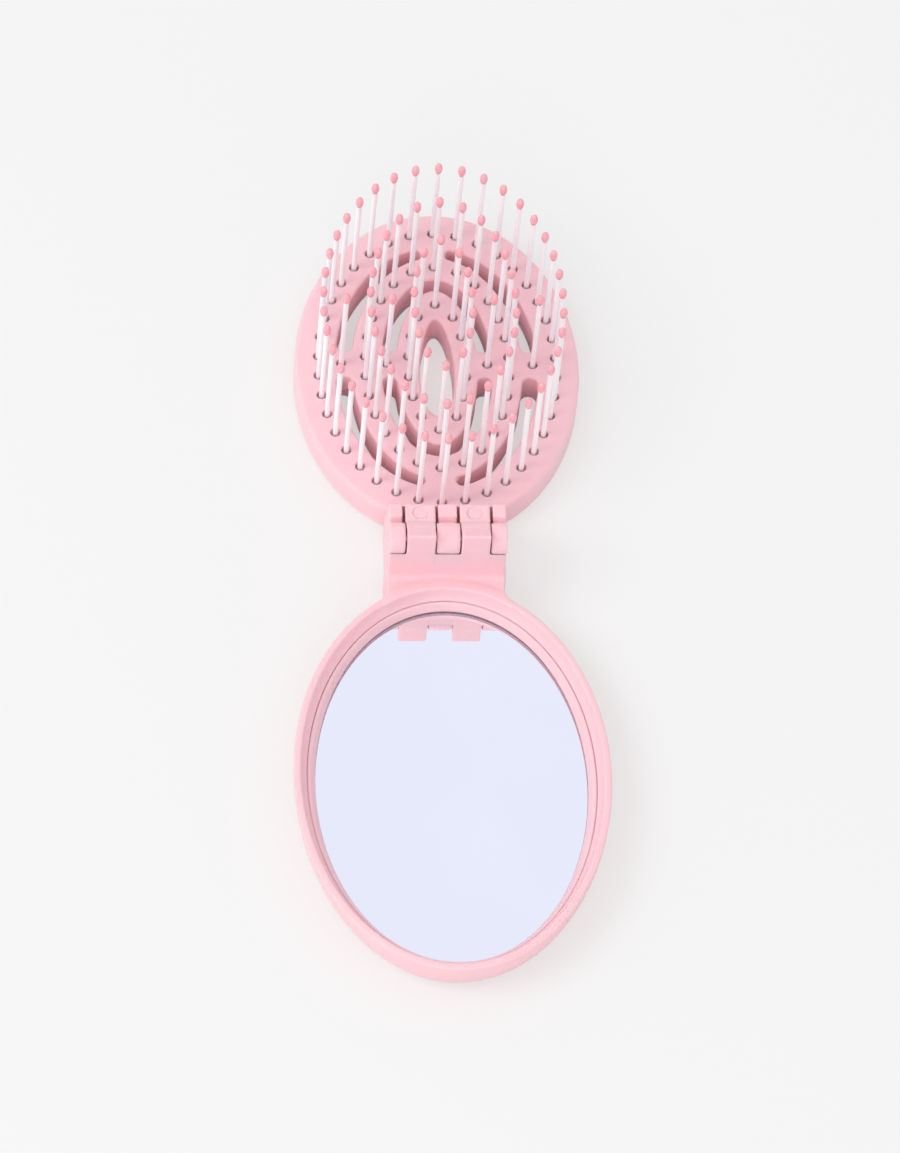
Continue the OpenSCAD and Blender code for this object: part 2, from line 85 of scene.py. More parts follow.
# Hinge: its axis, the two halves' middles, and the pieces along the rod
AXIS_Z = 20.55
REACH = 54.1
HINGE_Y = (FRAME_B - HEAD_B) / 2
HEAD_Y = HINGE_Y + REACH
MIRROR_Y = HINGE_Y - REACH
HALF_HINGE = 12.75
KNUCKLE_R = 3.35
ROD_R = 1.0
FINGER_X, FINGER_W, TAIL_W = 5.95, 6.2, 6.6
BOSS_IN, BOSS_OUT = 2.55, 9.35
SLOT_IN, SLOT_OUT = 2.05, 9.85
SWEEP_R = 8.207
BUTT = 0.1
NECK_FRONT = 3.5
BLOCK_BACK = 14.2

# ---- Sizes of the looks alone, in millimetres ----

# The hollow round the knuckles is tighter than the CAD's
CRADLE_R = 3.52
# The glass has a bevelled edge up to here, and the bead's lip is wider at the sides by this share
GROUND_IN = 4.95
LIP_SIDES = 0.36
# The bore is only cut where it could be seen. On the left, where the CAD's bore is blind, this
# leaves a round mark 0.2 deep
BORE_RIGHT, BORE_LEFT = 11.55, 12.55

# Rounded edges
SIDE_EDGE = 0.35
BARREL_EDGE = 0.3
SLOT_EDGE, SLOT_RIM = 0.2, 0.3
BORE_EDGE = 0.12
HOLE_EDGE = 0.22
SEAT_EDGE = 0.15
COVER_EDGE, COVER_VENT_EDGE = 0.25, 0.3
MARK_EDGE = 0.12

# Hollow fillets
EAR_FILLET = 0.4
BOSS_FILLET = 0.25
BLOCK_FILLET = 0.9
ROOT_FILLET = 1.6
FRAME_FILLET = 1.9
BARREL_FILLET = 0.5
TAIL_FILLET = 0.2
FINGER_FILLET = 0.25

# Profiles below are drawn this much inside their outline, and grown round their corners
EAR_GROW, FINGER_GROW = 0.4, 0.35


# ---- Distance fields: arrays of points in, signed distances out, negative inside ----

# Ovals are drawn in or out by no more than leaves this half width, or than this far
OVAL_LEFT, OVAL_OUT = 6, 20


def ellipse_distance(x, y, a, b):
    """Signed distance to an ellipse, to first order."""
    k0 = np.sqrt((x / a) ** 2 + (y / b) ** 2)
    k1 = np.sqrt((x / a**2) ** 2 + (y / b**2) ** 2)
    return k0 * (k0 - 1) / np.maximum(k1, 1e-9)


def oval_inset(x, y, a, b):
    """How far the oval through each point is drawn in from the outline."""
    i = -ellipse_distance(x, y, a, b)
    for _ in range(2):
        i = np.clip(i, -OVAL_OUT, a - OVAL_LEFT)
        i = i - ellipse_distance(x, y, a - i, b - i)
    return i


def polygon_distance(x, y, corners):
    """Exact signed distance to a closed polygon."""
    x = np.asarray(x, np.float32)
    y = np.asarray(y, np.float32)
    best = np.full(x.shape, 1e9, np.float32)
    inside = np.zeros(x.shape, bool)
    n = len(corners)
    for k in range(n):
        ax, ay = corners[k]
        bx, by = corners[(k + 1) % n]
        ex, ey = bx - ax, by - ay
        wx, wy = x - ax, y - ay
        t = np.clip((wx * ex + wy * ey) / (ex * ex + ey * ey), 0, 1)
        best = np.minimum(best, (wx - t * ex) ** 2 + (wy - t * ey) ** 2)
        if ey != 0:
            crosses = (ay > y) != (by > y)
            inside ^= crosses & (x < ax + (y - ay) * ex / ey)
    d = np.sqrt(best)
    return np.where(inside, -d, d)


def round_and(a, b, r):
    """Where both shapes are, with a rounded outer edge of radius r."""
    u = np.maximum(a + r, 0)
    v = np.maximum(b + r, 0)
    return np.minimum(-r, np.maximum(a, b)) + np.sqrt(u * u + v * v)


def round_or(a, b, r):
    """Where either shape is, with a hollow corner of radius r between them."""
    u = np.maximum(r - a, 0)
    v = np.maximum(r - b, 0)
    return np.maximum(r, np.minimum(a, b)) - np.sqrt(u * u + v * v)


def slab(t, low, high):
    """Between two parallel planes."""
    return np.maximum(low - t, t - high)


# ---- Meshing a distance field ----

CORNERS = [(i, j, k) for i in (0, 1) for j in (0, 1) for k in (0, 1)]
EDGES = [(a, b) for a in range(8) for b in range(a + 1, 8)
         if sum(abs(CORNERS[a][c] - CORNERS[b][c]) for c in range(3)) == 1]

# The grid is filled in blocks of this many cells each way, where a block's middle is nearer to
# the surface than its half diagonal times this factor; anywhere else it holds this value
BLOCK = 8
NEAR_FACTOR = 1.25
FAR = 9.0

# Points and blocks that are worked out at once, to keep arrays small
POINTS_AT_ONCE = 400000
BLOCKS_AT_ONCE = 400

# Settling: how far apart the slope is read, the least squared slope, and the longest move in steps
SETTLE_REACH = 0.02
LEAST_SLOPE = 0.25
LONGEST_MOVE = 0.3

# How far to either side the shading's slope is read
SHADE_REACH = 0.12


def field_values(field, points):
    """The field in slices, so that its temporary arrays stay small."""
    out = np.empty(len(points), np.float32)
    for k in range(0, len(points), POINTS_AT_ONCE):
        part = points[k:k + POINTS_AT_ONCE]
        out[k:k + POINTS_AT_ONCE] = field(part[:, 0], part[:, 1], part[:, 2])
    return out


def sample_grid(field, low, high, step):
    """Field values at the corners of a grid, exact only near the surface."""
    low = np.array(low, float)
    blocks = np.ceil((np.array(high) - low) / (step * BLOCK)).astype(int)
    centres = np.stack(np.meshgrid(*[(np.arange(n) + 0.5) * BLOCK * step for n in blocks],
                                   indexing="ij"), -1).reshape(-1, 3) + low
    middle = field_values(field, centres)
    grid = np.sign(middle).reshape(blocks)
    for axis in range(3):
        grid = np.repeat(grid, BLOCK, axis)
    grid = np.pad(grid * FAR, ((0, 1),) * 3, mode="edge").astype(np.float32)
    near = np.abs(middle) < NEAR_FACTOR * math.sqrt(3) / 2 * BLOCK * step + step
    where = np.stack(np.unravel_index(np.nonzero(near)[0], blocks), -1) * BLOCK
    local = np.stack(np.meshgrid(*[np.arange(BLOCK + 1)] * 3, indexing="ij"), -1).reshape(-1, 3)
    for k in range(0, len(where), BLOCKS_AT_ONCE):
        corner = (where[k:k + BLOCKS_AT_ONCE, None, :] + local[None, :, :]).reshape(-1, 3)
        values = field_values(field, low + corner * step)
        grid[corner[:, 0], corner[:, 1], corner[:, 2]] = values
    return low, grid


def surface(field, low, high, step):
    """Points and four-sided faces of a field's zero surface."""
    low, grid = sample_grid(field, low, high, step)
    inside = grid < 0
    count = np.zeros(np.array(grid.shape) - 1, np.int8)
    shape = count.shape
    for i, j, k in CORNERS:
        count += inside[i:i + shape[0], j:j + shape[1], k:k + shape[2]]
    cells = np.argwhere((count > 0) & (count < 8))
    at = [grid[cells[:, 0] + i, cells[:, 1] + j, cells[:, 2] + k] for i, j, k in CORNERS]
    total = np.zeros((len(cells), 3))
    hits = np.zeros(len(cells))
    for a, b in EDGES:
        start, end = np.array(CORNERS[a]), np.array(CORNERS[b])
        cross = (at[a] < 0) != (at[b] < 0)
        t = np.where(cross, at[a] / np.where(cross, at[a] - at[b], 1), 0)
        total += (start + t[:, None] * (end - start)) * cross[:, None]
        hits += cross
    points = low + step * (cells + total / hits[:, None])
    number = np.full(shape, -1, np.int32)
    number[cells[:, 0], cells[:, 1], cells[:, 2]] = np.arange(len(cells))
    quads = []
    for axis in range(3):
        ahead = [slice(None)] * 3
        behind = [slice(None)] * 3
        ahead[axis], behind[axis] = slice(1, None), slice(None, -1)
        for other in range(3):
            if other != axis:
                ahead[other] = behind[other] = slice(1, -1)
        first, second = inside[tuple(behind)], inside[tuple(ahead)]
        p = np.argwhere(first != second)
        leaves = first[p[:, 0], p[:, 1], p[:, 2]]
        u, v = (axis + 1) % 3, (axis + 2) % 3
        p[:, u] += 1
        p[:, v] += 1
        ring = []
        for du, dv in ((0, 0), (1, 0), (1, 1), (0, 1)):
            q = p.copy()
            q[:, u] -= du
            q[:, v] -= dv
            ring.append(number[q[:, 0], q[:, 1], q[:, 2]])
        ring = np.stack(ring, -1)
        quads.append(np.where(leaves[:, None], ring, ring[:, ::-1]))
    return settle(field, points, step), np.concatenate(quads)


def settle(field, points, step):
    """Moves points onto the surface along the field's slope."""
    for _ in range(2):
        value = field_values(field, points)
        slope = np.stack([(field_values(field, points + SETTLE_REACH * np.eye(3)[c]) - value)
                          / SETTLE_REACH for c in range(3)], -1)
        size = np.maximum((slope**2).sum(1), LEAST_SLOPE)
        move = -(value / size)[:, None] * slope
        points = points + np.clip(move, -LONGEST_MOVE * step, LONGEST_MOVE * step)
    return points


# ---- Blender objects ----


def new_object(name, points, faces):
    mesh = bpy.data.meshes.new(name)
    mesh.from_pydata((np.asarray(points) * MM).tolist(), [], [list(f) for f in faces])
    mesh.validate()
    mesh.update()
    mesh.shade_smooth()
    obj = bpy.data.objects.new(name, mesh)
    bpy.context.scene.collection.objects.link(obj)
    return obj


def field_object(name, field, low, high, step):
    points, quads = surface(field, low, high, step)
    obj = new_object(name, points, quads)
    shade_by_slope(obj, field)
    return obj


def shade_by_slope(obj, field):
    """Gives each point the normal of the field around it, so that highlights run smoothly."""
    points = np.empty(len(obj.data.vertices) * 3, np.float32)
    obj.data.vertices.foreach_get("co", points)
    points = points.reshape(-1, 3) / MM
    slope = np.stack([field_values(field, points + SHADE_REACH * np.eye(3)[c])
                      - field_values(field, points - SHADE_REACH * np.eye(3)[c])
                      for c in range(3)], -1)
    slope /= np.maximum(np.linalg.norm(slope, axis=1, keepdims=True), 1e-6)
    obj.data.normals_split_custom_set_from_vertices(slope.tolist())


OVAL_STEPS = 240


def swept_oval(name, a, b, section):
    """A closed ring on the mirror from a loop of (inset, height) corners, wider at its sides."""
    turn = np.linspace(0, 2 * math.pi, OVAL_STEPS, endpoint=False)
    m, n = len(section), OVAL_STEPS
    lip = lambda t, i: SEAT_IN + (i - SEAT_IN) * (1 + LIP_SIDES * math.sin(t) ** 2)
    points = [((a - lip(t, i)) * math.sin(t), MIRROR_Y + (b - lip(t, i)) * math.cos(t), z)
              for t in turn for i, z in section]
    faces = [(i * m + j, i * m + (j + 1) % m, ((i + 1) % n) * m + (j + 1) % m,
              ((i + 1) % n) * m + j) for i in range(n) for j in range(m)]
    obj = new_object(name, points, faces)
    fix_normals(obj)
    return obj


def stacked_oval(name, a, b, rows):
    """A closed disc from rows of (inset, height), the flat underside first and the top last."""
    turn = np.linspace(0, 2 * math.pi, OVAL_STEPS, endpoint=False)
    n = OVAL_STEPS
    points = [((a - i) * math.sin(t), MIRROR_Y + (b - i) * math.cos(t), z)
              for i, z in rows for t in turn]
    faces = [(r * n + k, r * n + (k + 1) % n, (r + 1) * n + (k + 1) % n, (r + 1) * n + k)
             for r in range(len(rows) - 1) for k in range(n)]
    faces.append(tuple(range(n)))
    faces.append(tuple(range((len(rows) - 1) * n, len(rows) * n)))
    obj = new_object(name, points, faces)
    fix_normals(obj)
    return obj


def fix_normals(obj):
    bm = bmesh.new()
    bm.from_mesh(obj.data)
    bmesh.ops.recalc_face_normals(bm, faces=bm.faces)
    bm.to_mesh(obj.data)
    bm.free()


def smooth_loop(corners, rounds=2):
    """A closed section with its corners cut finer and finer."""
    for _ in range(rounds):
        ahead = corners[1:] + corners[:1]
        corners = [(p[0] + s * (q[0] - p[0]), p[1] + s * (q[1] - p[1]))
                   for p, q in zip(corners, ahead) for s in (0.25, 0.75)]
    return corners


def crease(obj, degrees):
    """Edges sharper than this stay crisp."""
    obj.data.set_sharp_from_angle(angle=math.radians(degrees))


def place(obj, body, slot, material, *nodes):
    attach(obj, body)
    if nodes:
        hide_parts(*nodes)
    obj.data.materials.clear()
    obj.data.materials.append(material)
    return obj


# ---- The brush head's vents and pin places ----

VENT_STEPS, END_TURN = 40, 12
CENTRE_STEPS = 90
RING_STEPS = 721


def on_oval(a, b, t):
    return np.array([a * math.sin(t), b * math.cos(t)])


def oval_normal(a, b, t):
    v = np.array([math.sin(t) / a, math.cos(t) / b])
    return v / np.linalg.norm(v)


def vent_outline(ring, side, end, start, stop):
    """A slot of changing width along an oval, with round ends."""
    a, b = ring
    half = lambda t: (side * math.sin(t) ** 2 + end * math.cos(t) ** 2) / 2
    sweep = np.linspace(start, stop, VENT_STEPS)
    out = [on_oval(a, b, t) + half(t) * oval_normal(a, b, t) for t in sweep]
    for t, way in ((stop, 1), (start, -1)):
        n = oval_normal(a, b, t)
        along = np.array([n[1], -n[0]])
        for turn in np.radians(np.arange(END_TURN, 180, END_TURN)):
            arm = math.cos(turn) * n + math.sin(turn) * along
            out.append(on_oval(a, b, t) + way * half(t) * arm)
        if way == 1:
            out += [on_oval(a, b, u) - half(u) * oval_normal(a, b, u) for u in sweep[::-1]]
    return out


def vent_outlines():
    """The four outer vents, the two inner ones and the middle one."""
    def bridge(ring, side, way):
        return math.acos((SIDE_BRIDGE_Y + way * ((SIDE_BRIDGE + side) / 2)) / ring[1])

    outer = (OUTER_VENT, OUTER_SIDE, OUTER_END)
    inner = (INNER_VENT, INNER_SIDE, INNER_END)
    far = math.asin((FAR_BRIDGE + OUTER_END) / 2 / OUTER_VENT[0])
    near = math.pi - math.asin((NEAR_BRIDGE + OUTER_END) / 2 / OUTER_VENT[0])
    rights = [vent_outline(*outer, far, bridge(OUTER_VENT, OUTER_SIDE, 1)),
              vent_outline(*outer, bridge(OUTER_VENT, OUTER_SIDE, -1), near)]
    outlines = rights + [[np.array([-p[0], p[1]]) for p in r] for r in rights]
    up, down = bridge(INNER_VENT, INNER_SIDE, 1), bridge(INNER_VENT, INNER_SIDE, -1)
    outlines.append(vent_outline(*inner, -up, up))
    outlines.append(vent_outline(*inner, down, 2 * math.pi - down))
    a, b = CENTRE_VENT
    turn = np.linspace(0, 2 * math.pi, CENTRE_STEPS, endpoint=False)
    outlines.append([np.array([a * math.sin(t) * (1 - CENTRE_TAPER * math.cos(t)),
                               b * math.cos(t)]) for t in turn])
    return outlines


def spaced(ring, count):
    """Evenly spaced places round an oval, the first at its far end."""
    t = np.linspace(0, 2 * math.pi, RING_STEPS)
    line = np.stack([ring[0] * np.sin(t), ring[1] * np.cos(t)], -1)
    way = np.concatenate([[0], np.cumsum(np.linalg.norm(np.diff(line, axis=0), axis=1))])
    at = np.interp(way[-1] * np.arange(count) / count, way, t)
    return [(ring[0] * math.sin(u), ring[1] * math.cos(u)) for u in at]


def pin_places():
    outer_wall = np.array([OUTER_SIDE, OUTER_END]) / 2 + VENT_WALL
    inner_wall = np.array([INNER_SIDE, INNER_END]) / 2 + VENT_WALL
    outer, inner, centre = map(np.array, (OUTER_VENT, INNER_VENT, CENTRE_VENT))
    bands = {"outer": (outer + outer_wall, np.array([HEAD_A, HEAD_B]) - CAVITY_IN),
             "middle": (inner + inner_wall, outer - outer_wall),
             "inner": (centre + VENT_WALL, inner - inner_wall)}
    places = {}
    for name, (count, share) in RINGS.items():
        low, high = bands[name]
        places[name] = spaced(low + share * (high - low), count)
    places["middle"] += [(side * (ring[0] + BRIDGE_PIN_OUT), SIDE_BRIDGE_Y)
                         for side in (-1, 1) for ring in (OUTER_VENT, INNER_VENT)]
    return places


PINS = pin_places()

# The planes reach this far past the head, and hold this distance away from any shape; a shape
# is joined to a plane up to this far from it
PLANE_STEP = 0.15
PLANE_PAST = 2
PLANE_FAR = 4.0
JOIN_REACH = 3


class Raster:
    """A plane of distances, read between its grid points."""

    def __init__(self):
        self.low = np.array([-HEAD_A - PLANE_PAST, -HEAD_B - PLANE_PAST])
        size = np.array([HEAD_A + PLANE_PAST, HEAD_B + PLANE_PAST]) * 2
        nx, ny = (size / PLANE_STEP).astype(int) + 1
        self.x, self.y = np.meshgrid(self.low[0] + PLANE_STEP * np.arange(nx),
                                     self.low[1] + PLANE_STEP * np.arange(ny), indexing="ij")
        self.d = np.full(self.x.shape, PLANE_FAR, np.float32)

    def join(self, lows, highs, distance):
        """Lowers the distances inside a box to those of one more shape."""
        i = np.maximum(((np.array(lows) - JOIN_REACH - self.low) / PLANE_STEP).astype(int), 0)
        j = ((np.array(highs) + JOIN_REACH - self.low) / PLANE_STEP).astype(int) + 1
        part = (slice(i[0], j[0]), slice(i[1], j[1]))
        self.d[part] = np.minimum(self.d[part], distance(self.x[part], self.y[part]))

    def read(self, x, y):
        u = np.clip((x - self.low[0]) / PLANE_STEP, 0, self.d.shape[0] - 1.001)
        v = np.clip((y - self.low[1]) / PLANE_STEP, 0, self.d.shape[1] - 1.001)
        i, j = u.astype(int), v.astype(int)
        u, v = u - i, v - j
        return ((self.d[i, j] * (1 - u) + self.d[i + 1, j] * u) * (1 - v)
                + (self.d[i, j + 1] * (1 - u) + self.d[i + 1, j + 1] * u) * v)


vent_plane = Raster()
for outline in vent_outlines():
    corners = np.array(outline)
    vent_plane.join(corners.min(0), corners.max(0),
                    lambda x, y, c=outline: polygon_distance(x, y, c))
hole_plane = Raster()
for x0, y0 in [p for ring in PINS.values() for p in ring]:
    hole_plane.join((x0, y0), (x0, y0), lambda x, y: np.hypot(x - x0, y - y0) - HOLE_R)


# ---- Brush head shell, with its ears ----

# Seen along the rod, from its axis: (forward to the brush's far end, up)
EAR_PROFILE = [(BUTT + 0.5, -AXIS_Z + 0.5), (BUTT + 0.5, -2.0), (2.2, 0.3), (4.1, 0.3),
               (4.8, 1.6), (7.4, 1.6), (BLOCK_BACK - 0.5, FACE_Z - AXIS_Z - 0.7),
               (BLOCK_BACK - 0.5, -AXIS_Z + 0.5)]
# The block is worked out only this near to its outline, and the pins' holes end this deep
BLOCK_MARGIN = 4
HOLE_DEEP = 2.0
# The cover stays this much under its seat
COVER_CLEAR = 0.02


def head_field(x, y, z):
    hy = y - HEAD_Y
    inset = oval_inset(x, hy, HEAD_A, HEAD_B)
    edge = np.where(z > FACE_Z / 2, FACE_EDGE, HEAD_FOOT)
    plate = round_and(-inset, slab(z, 0, FACE_Z), edge)
    # the block that carries the ears
    ay, az = y - HINGE_Y, z - AXIS_Z
    r = np.hypot(ay, az)
    near = (ay < BLOCK_BACK + BLOCK_MARGIN) & (np.abs(x) < HALF_HINGE + BLOCK_MARGIN)
    d = plate
    if near.any():
        xs, ys, zs, rs = np.abs(x[near]), ay[near], az[near], r[near]
        knuckle = rs - KNUCKLE_R
        profile = round_or(polygon_distance(ys, zs, EAR_PROFILE) - EAR_GROW, knuckle, EAR_FILLET)
        block = round_and(profile, xs - HALF_HINGE, SIDE_EDGE)
        sweep = round_and(rs - SWEEP_R, slab(xs, SLOT_IN, SLOT_OUT), SLOT_EDGE)
        block = round_and(block, -sweep, SLOT_RIM)
        boss = round_and(knuckle, slab(xs, BOSS_OUT, HALF_HINGE), BARREL_EDGE)
        boss = np.minimum(boss, round_and(knuckle, xs - BOSS_IN, BARREL_EDGE))
        block = round_or(block, boss, BOSS_FILLET)
        bore = np.maximum(rs - ROD_R, np.where(x[near] > 0, BORE_RIGHT, BORE_LEFT) - xs)
        block = round_and(block, -bore, BORE_EDGE)
        d = d.copy()
        # where the block's flat underside meets the plate's, this also swells them by 0.2
        d[near] = round_or(plate[near], block, BLOCK_FILLET)
    d = round_and(d, -vent_plane.read(x, hy), VENT_EDGE)
    d = round_and(d, -np.maximum(hole_plane.read(x, hy), FACE_Z - HOLE_DEEP - z), HOLE_EDGE)
    recess = np.maximum(COVER_SEAT - inset, z - COVER_T)
    return round_and(d, -recess, SEAT_EDGE)


def cover_field(x, y, z):
    hy = y - HEAD_Y
    inset = oval_inset(x, hy, HEAD_A, HEAD_B)
    plate = round_and(COVER_SEAT + COVER_GAP - inset, slab(z, 0, COVER_T - COVER_CLEAR),
                      COVER_EDGE)
    return round_and(plate, -vent_plane.read(x, hy), COVER_VENT_EDGE)


# ---- Mirror frame, neck and fingers ----

# Inside the crest the rim drops this much to a cove that runs down to the seat
CREST_DROP = 0.6
RIM_COVE = [(1.82, 10.1), (2.0, 9.6), (2.25, 9.15), (2.55, 8.75), (2.85, 8.45), (SEAT_IN, 8.3)]


def frame_section():
    """The frame's section, as a loop of (inset, height) corners."""
    side = [(FRAME_FOOT * (1 - math.cos(t)), WIDEST_Z * (1 - math.sin(t)))
            for t in np.radians(np.linspace(90, 0, 19))]
    crest = [(CREST_IN - CREST_IN * math.cos(t), WIDEST_Z + CREST_H * math.sin(t))
             for t in np.radians(np.linspace(10, 90, 9))]
    inner = [(CREST_IN + CREST_W * math.sin(t), RIM_Z - CREST_DROP + CREST_DROP * math.cos(t))
             for t in np.radians(np.linspace(12, 80, 6))]
    return side + crest + inner + RIM_COVE + [(SEAT_IN, PAD_UNDER), (FRAME_COVER_IN, PAD_UNDER),
                                              (FRAME_COVER_IN, 0)]


FRAME_SECTION = frame_section()

# The neck's root: how deep it runs into the frame at each height, how far it reaches from the
# axis, and how far it stays under the rim
ROOT_CLIP = ((0.0, 1.6, 5.35, 9.5), (5.6, 2.8, 1.6, 1.2))
ROOT_REACH, ROOT_LOW = 12.6, 0.4

# Seen along the rod, from its axis: (forward to the brush's far end, up)
FINGER_PROFILE = [(-0.45, -4.3), (-3.15, -4.3), (-3.15, 5.25), (2.95, 1.65), (7.3, 1.65),
                  (7.3, 0.55), (3.0, 0.55), (-0.45, -1.6)]
# The fingers' lower end, where their tails start, and the round mark on each tail
FINGER_LOW, TAIL_FROM = 4.6, 0.6
MARK_Y, MARK_R, MARK_Z = 5.42, 1.6, 1.84
# The neck is worked out only this near to it
NECK_REACH, NECK_MARGIN = 16, 6


def neck_field(x, ay, az):
    """The neck's upright wall, with the cradle round the knuckles."""
    z = az + AXIS_Z
    wall = np.maximum(slab(ay, -NECK_FRONT, -BUTT), slab(z, 0, AXIS_Z))
    wall = np.maximum(wall, CRADLE_R - np.hypot(ay, az))
    return round_and(wall, np.abs(x) - HALF_HINGE, SIDE_EDGE)


def finger_field(x, ay, az):
    xs = np.abs(np.abs(x) - FINGER_X)
    r = np.hypot(ay, az)
    profile = round_or(polygon_distance(ay, az, FINGER_PROFILE) - FINGER_GROW, r - KNUCKLE_R,
                       BARREL_FILLET)
    barrel = round_and(profile, xs - FINGER_W / 2, BARREL_EDGE)
    tail = round_and(np.maximum(profile, TAIL_FROM - ay), xs - TAIL_W / 2, BARREL_EDGE)
    tail = np.maximum(tail, np.minimum(CRADLE_R - r, xs - FINGER_W / 2))
    mark = np.maximum(np.hypot(xs, ay - MARK_Y) - MARK_R, MARK_Z - az)
    return round_and(round_or(barrel, tail, TAIL_FILLET), -mark, MARK_EDGE)


def mirror_field(x, y, z):
    my = y - MIRROR_Y
    inset = oval_inset(x, my, FRAME_A, FRAME_B)
    ring = polygon_distance(inset, z, FRAME_SECTION)
    ay, az = y - HINGE_Y, z - AXIS_Z
    near = (ay > -NECK_REACH) & (np.abs(x) < HALF_HINGE + NECK_MARGIN)
    if not near.any():
        return ring
    xs, ys, zs = x[near], ay[near], az[near]
    height = zs + AXIS_Z
    root = np.maximum(slab(ys, -ROOT_REACH, -BUTT), slab(height, 0, RIM_Z - ROOT_LOW))
    clip = np.interp(height, ROOT_CLIP[0], ROOT_CLIP[1])
    root = np.maximum(root, inset[near] - clip)
    root = round_and(root, np.abs(xs) - HALF_HINGE, SIDE_EDGE)
    neck = round_or(neck_field(xs, ys, zs), root, ROOT_FILLET)
    joined = round_or(ring[near], neck, FRAME_FILLET)
    # no fillet goes past the butt joint or under the table
    joined = np.maximum(joined, np.maximum(ys + BUTT, -zs - AXIS_Z))
    fingers = np.maximum(finger_field(xs, ys, zs), -FINGER_LOW - zs)
    d = ring.copy()
    d[near] = round_or(joined, fingers, FINGER_FILLET)
    return d


# ---- Materials ----


def srgb(r, g, b):
    """Scene-linear colour from 0-255 screen values."""
    out = []
    for c in (r, g, b):
        c /= 255
        out.append(c / 12.92 if c <= 0.04045 else ((c + 0.055) / 1.055) ** 2.4)
    return (*out, 1.0)


def material(name):
    m = bpy.data.materials.new(name)
    m.use_nodes = True
    nodes = m.node_tree.nodes
    return m, nodes, m.node_tree.links, nodes["Principled BSDF"]


def noise(nodes, links, scale, detail):
    where = nodes.new("ShaderNodeTexCoord")
    n = nodes.new("ShaderNodeTexNoise")
    n.inputs["Scale"].default_value = scale
    n.inputs["Detail"].default_value = detail
    links.new(where.outputs["Object"], n.inputs["Vector"])
    return n.outputs["Fac"]


def ramp(nodes, links, source, low, high, start=0.35, stop=0.65):
    r = nodes.new("ShaderNodeValToRGB")
    r.color_ramp.elements[0].position = start
    r.color_ramp.elements[0].color = low
    r.color_ramp.elements[1].position = stop
    r.color_ramp.elements[1].color = high
    links.new(source, r.inputs["Fac"])
    return r.outputs["Color"]


def to_range(nodes, links, source, low, high):
    m = nodes.new("ShaderNodeMapRange")
    m.inputs["To Min"].default_value = low
    m.inputs["To Max"].default_value = high
    links.new(source, m.inputs["Value"])
    return m.outputs["Result"]


def bump(nodes, links, source, strength, distance, shader):
    b = nodes.new("ShaderNodeBump")
    b.inputs["Strength"].default_value = strength
    b.inputs["Distance"].default_value = distance
    links.new(source, b.inputs["Height"])
    links.new(b.outputs["Normal"], shader.inputs["Normal"])


def two_toned(name, scale, detail, low, high):
    """A material whose colour drifts between two tones, and the pattern that it follows."""
    m, nodes, links, shader = material(name)
    pattern = noise(nodes, links, scale, detail)
    tone = ramp(nodes, links, pattern, srgb(*low), srgb(*high))
    links.new(tone, shader.inputs["Base Color"])
    return m, nodes, links, shader, pattern


def roughen(nodes, links, source, low, high, shader):
    links.new(to_range(nodes, links, source, low, high), shader.inputs["Roughness"])


def scatter(shader, weight, radius, scale):
    """Light that spreads under the surface."""
    shader.inputs["Subsurface Weight"].default_value = weight
    shader.inputs["Subsurface Radius"].default_value = radius
    shader.inputs["Subsurface Scale"].default_value = scale


def moulded_pink():
    m, nodes, links, shader, _ = two_toned("moulded_pink_plastic", 45, 2.0,
                                           (254, 203, 210), (255, 206, 213))
    grain = noise(nodes, links, 900, 2.0)
    roughen(nodes, links, grain, 0.3, 0.38, shader)
    bump(nodes, links, grain, 0.03, 0.00002, shader)
    scatter(shader, 0.5, (1.0, 0.3, 0.26), 0.002)
    shader.inputs["Specular IOR Level"].default_value = 0.45
    return m


def nylon_white():
    m, nodes, links, shader, cloud = two_toned("nylon_pins", 150, 2.0,
                                               (252, 247, 254), (255, 251, 255))
    roughen(nodes, links, cloud, 0.25, 0.38, shader)
    scatter(shader, 0.5, (1.0, 0.9, 1.0), 0.001)
    return m


def dipped_pink():
    m, nodes, links, shader, cloud = two_toned("dipped_pink_tips", 700, 2.0,
                                               (246, 170, 180), (250, 184, 192))
    roughen(nodes, links, cloud, 0.2, 0.34, shader)
    scatter(shader, 0.25, (1.0, 0.4, 0.35), 0.0008)
    return m


def metallic(name, scale, detail, low, high, smooth, rough, metal):
    """Metal that is between smooth and rough along its own pattern."""
    m, nodes, links, shader, pattern = two_toned(name, scale, detail, low, high)
    roughen(nodes, links, pattern, smooth, rough, shader)
    shader.inputs["Metallic"].default_value = metal
    return m


def white_foam():
    m, nodes, links, shader, cells = two_toned("white_foam_tape", 2200, 4.0,
                                               (222, 222, 218), (240, 240, 237))
    shader.inputs["Roughness"].default_value = 0.9
    bump(nodes, links, cells, 0.3, 0.0001, shader)
    return m


pink = moulded_pink()
nylon = nylon_white()
tips_pink = dipped_pink()
mirror = metallic("silvered_mirror", 30, 2.0, (248, 249, 250), (250, 251, 252), 0.0, 0.012, 1.0)
glass_edge = metallic("ground_glass_edge", 5000, 1.0, (206, 206, 210), (240, 241, 245),
                      0.08, 0.2, 0.9)
steel = metallic("drawn_steel", 1800, 2.0, (176, 178, 182), (204, 206, 210), 0.22, 0.36, 1.0)
foam = white_foam()

for name, m in (("hinge_rod", steel), ("mirror_pad", foam), ("outer_pin_carrier", nylon),
                ("middle_pin_carrier", nylon), ("inner_pin_carrier", nylon)):
    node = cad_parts[name]
    node.data.materials.clear()
    node.data.materials.append(m)

# ---- Building the pieces ----

STEP = 0.3

